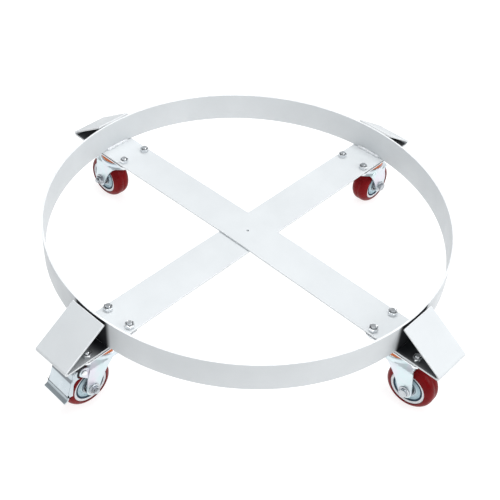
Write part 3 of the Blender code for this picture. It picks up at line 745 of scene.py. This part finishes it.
def hexagonal(name, low, high, radius, flange=0.0):
    """A hexagon from low to high with chamfered corners, over a round flange."""
    shape = extruded(name, arc((0, 0), radius, 0, 300, 5), low, high)
    inset = radius * HEX_CHAMFER
    drop = (radius - inset) * 0.62
    beyond = 0.00002
    cone = [
        (0, high + beyond),
        (inset * 0.93, high + beyond),
        (radius * 1.01, high - drop * 1.6),
        (radius * 1.01, low + drop * 0.8),
        (inset * 0.97, low - beyond),
        (0, low - beyond),
    ]
    shape = combined(shape, "INTERSECT", [turned("cone", cone, 48, closed=False)])
    if flange:
        washer = [
            (0, low + FLANGE_HEIGHT * 1.6),
            (radius * 0.8, low + FLANGE_HEIGHT * 1.5),
            (flange, low + FLANGE_HEIGHT * 0.75),
            (flange, low),
            (0, low),
        ]
        washer = rounded(washer, 0.0003, 2, False)
        shape = combined(shape, "UNION", [turned("flange", washer, 48, False)])
    return edge_rounded(shape, HEX_EDGE, 2, 28)


def threaded(name, radius, low, high):
    """A threaded rod with a chamfered end at high."""
    sides = 24
    per_turn = 6
    rows = max(2, round((high - low) / BOLT_PITCH * per_turn))
    depth = BOLT_PITCH * THREAD_DEPTH

    def build(bm):
        grid = []
        for i in range(rows + 1):
            height = low + (high - low) * i / rows
            room = min(1.0, (high - height) / (BOLT_PITCH * 0.9))
            row = []
            for k in range(sides):
                phase = (i / per_turn - k / sides) % 1.0
                cut = depth * (1 - abs(2 * phase - 1)) * 0.8
                here = radius - cut - depth * 0.7 * (1 - room)
                angle = 2 * math.pi * k / sides
                row.append(bm.verts.new(polar(here, angle, height)))
            grid.append(row)
        stitch(bm, grid)

    return smooth(mesh_of(name, build), 40)


def mounting_bolt():
    """Bolt head below the caster's plate, nut and threaded end on the bar."""
    low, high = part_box("front_right_bolt_inner_a")
    head = hexagonal("head", low.z, low.z + BOLT_HEAD_HEIGHT, HEX_RADIUS)
    nut_low = BAR_TOP + GAP
    nut_high = nut_low + NUT_HEIGHT
    well_floor = nut_high - NUT_WELL
    nut = hexagonal("nut", nut_low, nut_high, HEX_RADIUS)
    well = [
        (0, high.z),
        (BOLT_RADIUS + NUT_WELL, nut_high + 0.0001),
        (BOLT_RADIUS, well_floor),
        (0, well_floor),
    ]
    nut = combined(nut, "DIFFERENCE", [turned("well", well, 32, False)])
    shank = rod("shank", BOLT_RADIUS, nut_low, low.z + BOLT_HEAD_HEIGHT - GAP, 24)
    end = threaded("end", BOLT_RADIUS, nut_low + 0.001, high.z)
    return joined("bolt", [smooth(head, 25), smooth(nut, 25), smooth(shank), end])


def bolts():
    """The sixteen mounting bolts, each with its hexagons turned differently."""
    mesh = mounting_bolt()
    for index, corner in enumerate(CORNERS):
        for number, label in enumerate(BOLT_LABELS):
            node = f"{corner}_bolt_{label}"
            low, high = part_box(node)
            spot = Matrix.Translation(((low.x + high.x) / 2, (low.y + high.y) / 2, 0))
            turned_by = Matrix.Rotation(math.radians(17 * number + 23 * index), 4, "Z")
            made = placed(mesh, spot @ turned_by)
            piece(node + "_with_nut", made, "frame", [BOLT_ZINC], [node])


# ---------------- fork


def fork_rows():
    """Heights of the fork's sheet with its half width across and its radius there."""
    rows = []
    drop = CROWN_EDGE_DROP
    for i in range(1, CROWN_EDGE_STEPS + 1):
        angle = math.radians(90 * i / CROWN_EDGE_STEPS)
        radius = CROWN_RADIUS - drop * (1 - math.sin(angle))
        rows.append((CROWN_TOP - drop * (1 - math.cos(angle)), radius, radius))
    rows.append((CROWN_SKIRT, CROWN_RADIUS, CROWN_RADIUS))
    for i in range(1, SHOULDER_STEPS + 1):
        part = i / SHOULDER_STEPS
        ease = part * part * (3 - 2 * part)
        height = CROWN_SKIRT + (SHOULDER_FOOT - CROWN_SKIRT) * part
        half_width = CROWN_RADIUS + (FORK_HALF_WIDTH - CROWN_RADIUS) * ease
        radius = CROWN_RADIUS + (LEG_SECTION_RADIUS - CROWN_RADIUS) * part
        rows.append((height, half_width, radius))
    rows.append((LEG_END, FORK_HALF_WIDTH, LEG_SECTION_RADIUS))
    return rows


def fork_shell():
    """The fork's sheet as an open bell, its sections clipped to the width between the legs."""
    sides = 120

    def build(bm):
        rim = []
        radius = CROWN_RADIUS - CROWN_EDGE_DROP
        for i in range(sides):
            angle = 2 * math.pi * (i + 0.5) / sides
            rim.append(bm.verts.new(polar(radius, angle, CROWN_TOP)))
        bm.faces.new(rim)
        for height, half_width, radius in fork_rows():
            row = []
            for i in range(sides):
                angle = 2 * math.pi * (i + 0.5) / sides
                across = max(-half_width, min(half_width, radius * math.sin(angle)))
                row.append(bm.verts.new((radius * math.cos(angle), across, height)))
            for i in range(sides):
                j = (i + 1) % sides
                bm.faces.new((rim[i], row[i], row[j], rim[j]))
            rim = row

    solidify = {"thickness": FORK_SHEET, "offset": -1, "use_even_offset": True}
    return with_modifiers(mesh_of("shell", build), [("SOLIDIFY", solidify)])


def fork_mesh(lug_circles):
    """The bell cut to two legs under a skirt, with its race, its holes and any brake lugs."""
    axle = axle_offset()
    legs = hull_of_circles([(axle.translation.x, WHEEL_RADIUS, BOSS_RADIUS), *LEG_TOP_CIRCLES])
    legs = placed(extruded("legs", legs, -SIDE_REACH, SIDE_REACH), SIDE_VIEW)
    arch = rod("arch", LEG_ARCH_RADIUS, SIDE_REACH + 0.01, -SIDE_REACH - 0.01, 180)
    arch_centre = Matrix.Translation((LEG_ARCH_CENTRE[0], 0, LEG_ARCH_CENTRE[1]))
    legs = combined(legs, "DIFFERENCE", [placed(arch, arch_centre @ SIDE_VIEW)])
    low = CROWN_SKIRT - CROWN_EDGE_DROP
    high = SKIRT_TOP
    skirt = [(-SKIRT_REACH, low), (SKIRT_REACH, low), (SKIRT_REACH, high), (-SKIRT_REACH, high)]
    skirt = extruded("skirt", skirt, -SIDE_REACH - WELD_INTO, SIDE_REACH + WELD_INTO)
    kept = combined(legs, "UNION", [placed(skirt, SIDE_VIEW)])
    shape = combined(fork_shell(), "INTERSECT", [kept])
    race = [
        (0, CROWN_RACE_TOP),
        (CROWN_RACE_RADIUS - CROWN_RACE_TAPER, CROWN_RACE_TOP),
        (CROWN_RACE_RADIUS, CROWN_TOP - WELD_INTO),
        (0, CROWN_TOP - WELD_INTO),
    ]
    additions = [turned("race", race, 64, closed=False)]
    if lug_circles:
        for side in (-1, 1):
            middle = side * (FORK_HALF_WIDTH - FORK_SHEET / 2)
            thick = FORK_SHEET / 2 - LUG_INSET
            lug = extruded("lug", hull_of_circles(lug_circles, 36), middle - thick, middle + thick)
            additions.append(placed(lug, SIDE_VIEW))
    shape = combined(shape, "UNION", additions)
    bore = rod("bore", KINGPIN_BORE, KINGPIN_BORE_TOP, KINGPIN_BORE_FOOT)
    axle_hole = rod("axle_hole", AXLE_RADIUS + GAP, SIDE_REACH, -SIDE_REACH)
    shape = combined(shape, "DIFFERENCE", [bore, placed(axle_hole, axle)])
    return edge_rounded(shape, FORK_EDGE, 3, 40)


# ---------------- wheel and swivel pieces


def seal_mesh():
    """The dust seal: a soft ring with a rolled lip and a shallow groove."""
    low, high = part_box("front_right_dust_seal")
    middle = (low.z + high.z) / 2
    profile = [
        (SEAL_RADIUS - SEAL_LIP, high.z),
        (SEAL_RADIUS, high.z - SEAL_LIP),
        (SEAL_RADIUS, middle + SEAL_GROOVE),
        (SEAL_RADIUS - SEAL_GROOVE, middle),
        (SEAL_RADIUS, middle - SEAL_GROOVE),
        (SEAL_RADIUS, low.z + SEAL_EDGE),
        (SEAL_RADIUS - SEAL_EDGE, low.z),
        (SEAL_INNER_RADIUS, low.z),
        (SEAL_INNER_RADIUS, high.z),
    ]
    return smooth(turned("seal", rounded(profile, SEAL_GROOVE, 3), 96), 40)


def tread_mesh():
    """The tread: rounded shoulders, a mould line round the middle and a step at each side."""
    crown_half = TREAD_HALF_WIDTH - TREAD_SHOULDER
    inner = TREAD_INNER_RADIUS
    shoulder = arc((WHEEL_RADIUS - TREAD_SHOULDER, crown_half), TREAD_SHOULDER, 84, 3, 16)
    upper = [(inner, CORE_HALF_WIDTH - 0.0015), (inner, TREAD_HALF_WIDTH - 0.0006)]
    upper += [(inner + 0.0005, TREAD_HALF_WIDTH - 0.0001)]
    upper += [point for point in shoulder if point[0] > inner + 0.0008]
    upper += [(WHEEL_RADIUS - 0.00004, 0.0009), (WHEEL_RADIUS - 0.00034, 0.0003)]
    return smooth(turned("tread", mirrored(upper), 128), 50)


def core_mesh():
    """The core's rim, recessed disc and hub."""
    upper = [
        (CORE_BORE, CORE_WEB_HALF + 0.004),
        (CORE_BORE + 0.0016, CORE_WEB_HALF + 0.004),
        (CORE_HUB_OUTER, CORE_WEB_HALF + 0.0008),
        (CORE_HUB_OUTER + 0.0012, CORE_WEB_HALF),
        (CORE_RIM_INNER - 0.0050, CORE_WEB_HALF + 0.0006),
        (CORE_RIM_INNER - 0.0034, CORE_WEB_HALF + 0.0036),
        (CORE_RIM_INNER - 0.0010, CORE_WEB_HALF + 0.0038),
        (CORE_RIM_INNER - 0.0006, CORE_HALF_WIDTH),
        (CORE_RADIUS, CORE_HALF_WIDTH),
    ]
    profile = rounded(upper, CORE_EDGE, 3, closed=False)
    mesh = smooth(turned("core", mirrored(profile), 96), 40)
    for face in mesh.polygons:
        radius = math.hypot(face.center.x, face.center.y)
        on_disc = CORE_BORE < radius < CORE_RIM_INNER - 0.0009
        face.material_index = int(on_disc and abs(face.center.z) > CORE_DISC_FROM)
    return mesh


def step_shade_mesh(side):
    """A dark blue ring filling the step between a core's rim and its disc: painted shade in the
    step.
    """
    outer = CORE_RIM_INNER - 0.0007
    inner = outer - STEP_SHADE_WIDTH
    face = side * (CORE_HALF_WIDTH - GAP)
    back = side * CORE_WEB_HALF
    profile = [(outer, face), (outer, back), (inner, back), (inner, face)]
    return smooth(turned("step_shade", rounded(profile, 0.0004, 2), 96), 40)


def bearing_mesh(side):
    """One ball bearing's outer race, shield and inner race, seen from its open side."""
    face = BEARING_HALF_WIDTH
    back = face - BEARING_WIDTH
    sunk = face - SHIELD_DEPTH
    profile = [
        (CORE_BORE - GAP, face),
        (CORE_BORE - GAP, back),
        (SLEEVE_RADIUS + 0.0002, back),
        (SLEEVE_RADIUS + 0.0002, face),
        (SLEEVE_RADIUS + 0.0016, face),
        (SLEEVE_RADIUS + 0.0019, sunk),
        (CORE_BORE - 0.0026, sunk),
        (CORE_BORE - 0.0023, face),
    ]
    profile = [(radius, side * height) for radius, height in rounded(profile, 0.00025, 2)]
    mesh = smooth(turned("bearing", profile, 72), 30)
    for polygon in mesh.polygons:
        radius = math.hypot(polygon.center.x, polygon.center.y)
        recessed = face - abs(polygon.center.z) > SHIELD_FROM
        shield = SLEEVE_RADIUS + 0.0017 < radius < CORE_BORE - 0.0024
        polygon.material_index = int(shield and recessed)
    return mesh


def sleeve_mesh():
    """The spacer between the bearings' inner races and the fork's legs."""
    reach = FORK_HALF_WIDTH - FORK_SHEET - GAP
    inner = AXLE_RADIUS + GAP
    profile = [(SLEEVE_RADIUS, reach), (SLEEVE_RADIUS, -reach), (inner, -reach), (inner, reach)]
    return smooth(turned("sleeve", rounded(profile, 0.0003, 2), 64), 40)


def axle_bolt_mesh():
    """A hexagon flange head, the shank and its threaded far end."""
    head = hexagonal("head", LEG_FACE, LEG_FACE + BOLT_HEAD_HEIGHT, HEX_RADIUS, FLANGE_RADIUS)
    shank = smooth(rod("shank", AXLE_RADIUS, LEG_FACE + WELD_INTO, -LEG_FACE - WELD_INTO))
    end = FORK_HALF_WIDTH + GAP + BOLT_HEAD_HEIGHT + AXLE_BOLT_END
    thread = threaded("thread", AXLE_RADIUS, LEG_FACE, end)
    return joined("axle_bolt", [head, shank, placed(thread, TURNED_ROUND)])


def axle_nut_mesh():
    """A flange nut with a well round its thread."""
    top = LEG_FACE + BOLT_HEAD_HEIGHT
    nut = hexagonal("nut", LEG_FACE, top, HEX_RADIUS, FLANGE_RADIUS)
    well = [
        (0, top + 0.001),
        (AXLE_RADIUS + 0.0012, top + 0.001),
        (AXLE_RADIUS + 0.0001, top - 0.001),
        (0, top - 0.001),
    ]
    nut = combined(nut, "DIFFERENCE", [turned("well", well, 32, False)])
    return placed(smooth(nut, 25), TURNED_ROUND)


def casters():
    """The forks, seals, wheels and axles, and the plates over them."""
    axle = axle_offset()
    seal = seal_mesh()
    tread = tread_mesh()
    core = core_mesh()
    step_shades = {"left": step_shade_mesh(-1), "right": step_shade_mesh(1)}
    bearings = {"left": bearing_mesh(-1), "right": bearing_mesh(1)}
    sleeve = sleeve_mesh()
    axle_bolt = axle_bolt_mesh()
    axle_nut = axle_nut_mesh()
    fork = fork_mesh([])
    brake_fork = fork_mesh(BRAKE_LUG_CIRCLES)
    for corner in CORNERS:
        swivel = swivel_place(corner)
        wheel = swivel @ axle
        carried = f"{corner}_swivel"
        rolling = f"{corner}_wheel"
        own_fork = placed(brake_fork if corner == BRAKED_CORNER else fork, swivel)
        name = f"{corner}_fork"
        piece(f"{name}_plated", own_fork, carried, [BRIGHT_ZINC], [name])
        name = f"{corner}_dust_seal"
        piece(f"{corner}_seal_ring", placed(seal, swivel), carried, [AMBER], [name])
        for name, mesh in (("axle_bolt", axle_bolt), ("axle_nut", axle_nut)):
            node = f"{corner}_{name}"
            own = placed(mesh, wheel)
            piece(f"{node}_flanged", own, carried, [AXLE_ZINC], [node])
        name = f"{corner}_wheel_tread"
        own_tread = placed(tread, wheel)
        piece(f"{name}_moulded", own_tread, rolling, [TREAD], [name])
        name = f"{corner}_wheel_core"
        own_core = placed(core, wheel)
        piece(f"{name}_moulded", own_core, rolling, [CORE, CORE_DISC], [name])
        for side in ("left", "right"):
            step_shade = placed(step_shades[side], wheel)
            piece(f"{corner}_rim_step_shade_{side}", step_shade, rolling, [STEP_SHADE])
            bearing = placed(bearings[side], wheel)
            steels = [RACE_STEEL, BEARING_SHIELD]
            piece(f"{corner}_ball_bearing_{side}", bearing, rolling, steels)
        name = f"{corner}_hub_bearing"
        own_sleeve = placed(sleeve, wheel)
        piece(f"{corner}_hub_sleeve", own_sleeve, rolling, [RACE_STEEL], [name])
        mount_plate(f"{corner}_mount_plate")
        carry_over(f"{corner}_kingpin", BOLT_ZINC)


def mount_plate(node):
    """A caster's plate, with a painted shadow line where its rounded top edge meets the bar."""
    mesh = edge_rounded(frame["nodes"][node].data, PLATE_EDGE)
    piece(f"{node}_plated", mesh, "frame", [PLATE_ZINC, PAINTED_SHADOW], [node])
    line_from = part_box(node)[1].z - 0.0006
    for face in mesh.polygons:
        face.material_index = int(face.center.z > line_from and face.normal.z < 0.95)


def carry_over(node, material):
    """A CAD node that shows as it is, with a better material."""
    mesh = frame["nodes"][node].data
    if not mesh.materials:
        mesh.materials.append(material)
    for index in range(len(mesh.materials)):
        mesh.materials[index] = material


# ---------------- foot brake


def brake():
    """The pedal with its toe lip, the shoe, the pin and the spring."""
    swivel = swivel_place(BRAKED_CORNER)
    to_caster = swivel.inverted()
    pivot = swivel @ Matrix.Translation((BRAKE_PIVOT[0], 0, BRAKE_PIVOT[1]))
    body = f"{BRAKED_CORNER}_brake"
    node = f"{BRAKED_CORNER}_brake_pedal"
    pedal = edge_rounded(folded(frame["nodes"][node].data, to_caster), PEDAL_EDGE, 3, 30)
    zincs = [PEDAL_ZINC, GREY_LIP, PAINTED_SHADOW, PEDAL_SHADOW_ZINC]
    piece(f"{node}_pressed", pedal, body, zincs, [node])
    mark_lip(pedal, to_caster)
    node = f"{BRAKED_CORNER}_brake_shoe"
    shoe = edge_rounded(trimmed(frame["nodes"][node].data, to_caster), SHOE_EDGE, 3, 30)
    piece(f"{node}_moulded", shoe, body, [SHOE_RUBBER], [node])
    node = f"{BRAKED_CORNER}_brake_pin"
    pin = placed(pin_mesh(), pivot @ SIDE_VIEW)
    piece(f"{node}_headed", pin, f"{BRAKED_CORNER}_swivel", [BOLT_ZINC], [node])
    node = f"{BRAKED_CORNER}_brake_spring"
    spring = placed(spring_mesh(), pivot)
    piece(f"{node}_wound", spring, body, [DARK_STEEL], [node])


def trimmed(mesh, to_caster):
    """The shoe with its curved face cut back a little, so that it just meets the round tread."""
    made = mesh.copy()
    axle = axle_offset().translation
    back = to_caster.inverted()
    for vertex in made.vertices:
        place = to_caster @ vertex.co
        spoke = Vector((place.x - axle.x, 0, place.z - axle.z))
        if spoke.length < WHEEL_RADIUS + SHOE_GAP + SHOE_TRIM:
            vertex.co = back @ (place + spoke.normalized() * SHOE_TRIM)
    return made


def folded(mesh, to_caster):
    """The pedal with the long corners between its face and its cheeks folded round."""

    def beyond_face(end):
        return end.x > PEDAL_FACE_FROM + (PEDAL_BEND_HEIGHT - end.z) * PEDAL_FACE_LEAN

    def fold(bm):
        corners = []
        for edge in bm.edges:
            ends = [to_caster @ vert.co for vert in edge.verts]
            outside = all(abs(abs(end.y) - PEDAL_HALF_WIDTH) < 0.0002 for end in ends)
            in_front = all(beyond_face(end) for end in ends)
            if outside and in_front and edge.calc_face_angle(0) > math.radians(40):
                corners.append(edge)
        bmesh.ops.bevel(
            bm, geom=corners, offset=PEDAL_FOLD, segments=6, profile=0.5, affect="EDGES"
        )

    return cleaned(mesh, fold)


def mark_lip(mesh, to_caster):
    """The pedal's duller toe lip, a painted shadow in the crease above it, painted shade on its back
    and a painted shadow band across its bend.
    """
    for face in mesh.polygons:
        height = (to_caster @ face.center).z
        facing_out = (to_caster.to_3x3() @ face.normal).x > 0.2
        lip = facing_out and LIP_FOOT < height < LIP_TOP
        near_line = LIP_TOP + LIP_LINE[0] < height < LIP_TOP + LIP_LINE[1]
        line = facing_out and near_line and face.area < LARGEST_LINE_FACE
        bend = facing_out and height > PEDAL_BEND_HEIGHT
        arm = not facing_out and height > ARM_FROM
        face.material_index = 2 if line or arm else 3 if bend else int(lip)


def pin_mesh():
    """The brake pin, headed at both ends."""
    half = FORK_HALF_WIDTH + GAP
    head = BRAKE_PIN_HEAD
    upper = [
        (0, half + head),
        (BRAKE_PIN_RADIUS * 1.5, half + head),
        (BRAKE_PIN_RADIUS * 1.8, half + head * 0.4),
        (BRAKE_PIN_RADIUS * 1.8, half),
        (BRAKE_PIN_RADIUS, half),
    ]
    return smooth(turned("pin", mirrored(rounded(upper, 0.0004, 3, False)), 32, False), 40)


def spring_mesh():
    """A torsion spring round the brake pin."""
    radius = BRAKE_PIN_RADIUS + 0.0006 + SPRING_WIRE_RADIUS
    pitch = 2 * SPRING_WIRE_RADIUS + GAP
    per_turn = 32
    sides = 12

    def build(bm):
        rows = []
        for i in range(per_turn * SPRING_TURNS + 1):
            angle = 2 * math.pi * i / per_turn
            along = pitch * (i / per_turn - SPRING_TURNS / 2)
            outwards = Vector((math.cos(angle), 0, math.sin(angle)))
            row = []
            for k in range(sides):
                around = 2 * math.pi * k / sides
                offset = outwards * math.cos(around) + Vector((0, 1, 0)) * math.sin(around)
                spot = outwards * radius + Vector((0, along, 0)) + offset * SPRING_WIRE_RADIUS
                row.append(bm.verts.new(spot))
            rows.append(row)
        stitch(bm, rows)

    return smooth(mesh_of("spring", build), 60)


# ---------------- camera, floor and light

VIEW_AZIMUTH = 40.31
VIEW_ELEVATION = 41.469
VIEW_DISTANCE = 1.41783
VIEW_ROLL = 0.0789  # in radians, the other angles in degrees
VIEW_AIM = (0.0039, -0.0196)  # the picture's middle, right of and above the ring's
VIEW_LENS = 66.196
FLOOR_GLOW = 0.82
WORLD_COLOUR = (0.95, 0.975, 1.0, 1)
WORLD_STRENGTH = 0.43
LIGHTS = (  # name, place, diameter, power
    ("overhead", (-0.10, 0.15, 2.5), 2.0, 52),
    ("right_side", (2.2, 0.9, 1.3), 1.4, 20),
    ("front_fill", (1.3, -1.5, 1.0), 2.0, 4.5),
)


def camera():
    """The camera that fits the photograph, aimed from the ring's lower edge."""
    azimuth = math.radians(VIEW_AZIMUTH)
    elevation = math.radians(VIEW_ELEVATION)
    level_part = math.cos(elevation)
    back = Vector(
        (math.sin(azimuth) * level_part, -math.cos(azimuth) * level_part, math.sin(elevation))
    )
    side = (-back).cross(UP).normalized()
    upright = side.cross(-back)
    forward = (-back + side * VIEW_AIM[0] + upright * VIEW_AIM[1]).normalized()
    level = forward.cross(UP).normalized()
    over = level.cross(forward)
    right = level * math.cos(VIEW_ROLL) + over * math.sin(VIEW_ROLL)
    up = over * math.cos(VIEW_ROLL) - level * math.sin(VIEW_ROLL)
    data = bpy.data.cameras.new("camera")
    data.sensor_width = 36
    data.lens = VIEW_LENS
    made = bpy.data.objects.new("camera", data)
    bpy.context.scene.collection.objects.link(made)
    rotation = Matrix((right, up, -forward)).transposed()
    place = back * VIEW_DISTANCE + Vector((0, 0, RING_LOW.z))
    made.matrix_world = Matrix.LocRotScale(place, rotation, None)
    bpy.context.scene.camera = made


def floor():
    """A pale floor that glows a little, so that it stays as white as the photograph's ground."""
    mesh = bpy.data.meshes.new("floor")
    bm = bmesh.new()
    bmesh.ops.create_grid(bm, x_segments=1, y_segments=1, size=12)
    bm.to_mesh(mesh)
    bm.free()
    shader = Shader("pale_floor", 0.8, 0.0, Specular_IOR_Level=0.0)
    shader.surface.inputs["Emission Color"].default_value = (1, 1, 1, 1)
    shader.surface.inputs["Emission Strength"].default_value = FLOOR_GLOW
    greys = [(0.3, (0.34, 0.34, 0.34)), (0.7, (0.36, 0.36, 0.36))]
    mesh.materials.append(shader.finish(shader.ramp(shader.noise(3, detail=2), greys)))
    made = bpy.data.objects.new("floor", mesh)
    bpy.context.scene.collection.objects.link(made)


def area_light(name, place, size, power):
    """A round soft light that faces the dolly."""
    data = bpy.data.lights.new(name, "AREA")
    data.shape = "DISK"
    data.size = size
    data.energy = power
    made = bpy.data.objects.new(name, data)
    made.location = place
    towards = Vector((0, 0, 0.1)) - Vector(place)
    made.rotation_euler = towards.to_track_quat("-Z", "Y").to_euler()
    bpy.context.scene.collection.objects.link(made)


def lights():
    """Soft studio light from above, the right and the front."""
    world = bpy.data.worlds.new("studio")
    world.use_nodes = True
    background = world.node_tree.nodes["Background"]
    background.inputs["Color"].default_value = WORLD_COLOUR
    background.inputs["Strength"].default_value = WORLD_STRENGTH
    bpy.context.scene.world = world
    for settings in LIGHTS:
        area_light(*settings)
    bpy.context.scene.view_settings.view_transform = "Standard"


camera()
floor()
lights()
ring()
bar("upper_cross_bar")
bar("lower_cross_bar")
for number, corner in enumerate(CORNERS):
    weld_bead(f"{corner}_weld_bead", 90 * number)
bolts()
casters()
brake()

bpy.context.view_layer.update()
